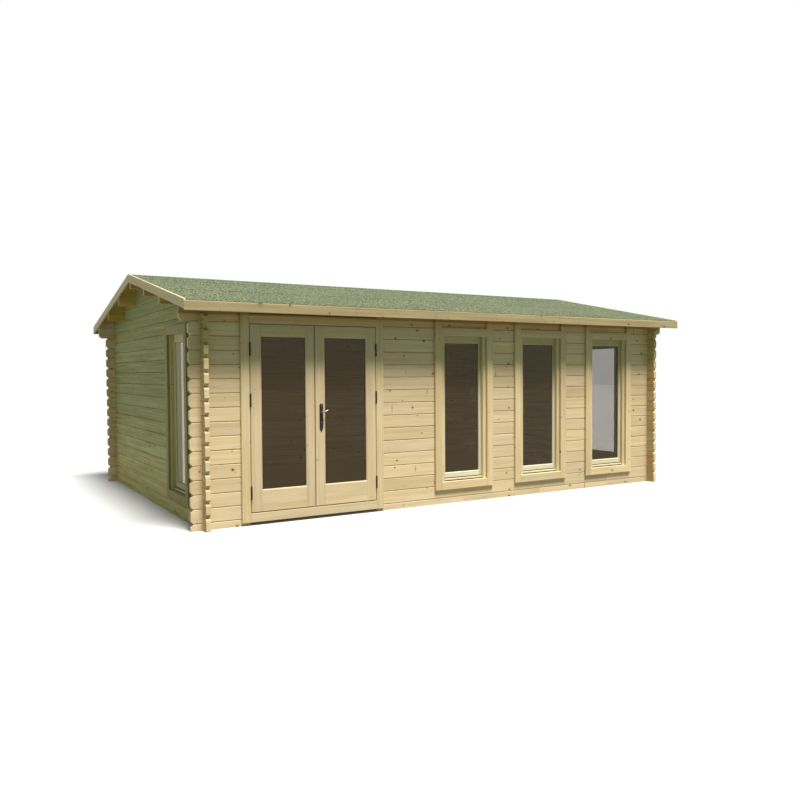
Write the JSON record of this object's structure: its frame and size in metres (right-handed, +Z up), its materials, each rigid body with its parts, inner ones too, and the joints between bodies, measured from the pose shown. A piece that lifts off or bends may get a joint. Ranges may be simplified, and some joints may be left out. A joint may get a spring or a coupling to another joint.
{
  "type": "log cabin",
  "caption": "Single-storey log cabin of interlocking square logs with a low felted gable roof, glazed double doors and tall windows.",
  "frame": {"origin": "middle of the footprint at the underside of the bottom logs", "axes": "+X along the front towards the right gable, -Y out of the doors, +Z up"},
  "size_m": [6.432, 4.538, 2.5836],
  "materials": {
    "log_timber": "planed pressure-treated pine, greenish cream, knotty",
    "joinery_timber": "planed pressure-treated pine, smooth",
    "rough_timber": "plain pine boards",
    "mineral_felt": "pale green mineral granules",
    "clear_glass": "clear",
    "black_metal": "black satin",
    "satin_steel": "satin steel"
  },
  "bodies": {
    "root": {"front_wall_left_end": "log_timber", "front_wall_base_logs": "log_timber", "front_wall_pier_1": "log_timber", "front_wall_pier_2": "log_timber", "front_wall_pier_3": "log_timber", "front_wall_right_end": "log_timber", "front_eaves_log": "log_timber", "rear_wall": "log_timber", "left_gable_base_logs": "log_timber", "left_gable_front_pier": "log_timber", "left_gable_rear_panel": "log_timber", "left_gable_top": "log_timber", "right_gable_base_logs": "log_timber", "right_gable_front_pier": "log_timber", "right_gable_rear_panel": "log_timber", "right_gable_top": "log_timber", "window_1_frame": "joinery_timber", "window_2_frame": "joinery_timber", "window_3_frame": "joinery_timber", "left_gable_window_frame": "joinery_timber", "right_gable_window_frame": "joinery_timber", "window_sashes": "joinery_timber", "door_left_jamb": "joinery_timber", "door_right_jamb": "joinery_timber", "door_head": "joinery_timber", "door_sill": "joinery_timber", "door_stops": "joinery_timber", "fascia_front": "joinery_timber", "fascia_rear": "joinery_timber", "left_bargeboards": "joinery_timber", "right_bargeboards": "joinery_timber", "floor_boards": "rough_timber", "floor_joists": "rough_timber", "roof_boards_front": "rough_timber", "roof_boards_rear": "rough_timber", "purlins": "rough_timber", "roof_felt_front": "mineral_felt", "roof_felt_rear": "mineral_felt", "window_glass": "clear_glass", "hinge_pins": "black_metal"},
    "left_door": {"left_door_leaf": "joinery_timber", "left_door_glass": "clear_glass", "left_door_knuckles": "black_metal"},
    "right_door": {"right_door_leaf": "joinery_timber", "right_door_glass": "clear_glass", "right_door_knuckles": "black_metal", "handle_plates": "black_metal"},
    "door_lever": {"door_lever": "satin_steel"}
  },
  "joints": [
    {"name": "left_door_swing", "type": "hinge", "parent": "root", "child": "left_door", "pos_m": [-2.5338, -2.035, 1], "axis": [0, 0, -1], "range_deg": [0, 120]},
    {"name": "right_door_swing", "type": "hinge", "parent": "root", "child": "right_door", "pos_m": [-1.1658, -2.035, 1], "axis": [0, 0, 1], "range_deg": [0, 120]},
    {"name": "lever_turn", "type": "hinge", "parent": "right_door", "child": "door_lever", "pos_m": [-1.7948, -2, 1.066], "axis": [0, 1, 0], "range_deg": [0, 40], "stiffness_Nm_per_rad": 2, "springref_deg": -22.92}
  ]
}
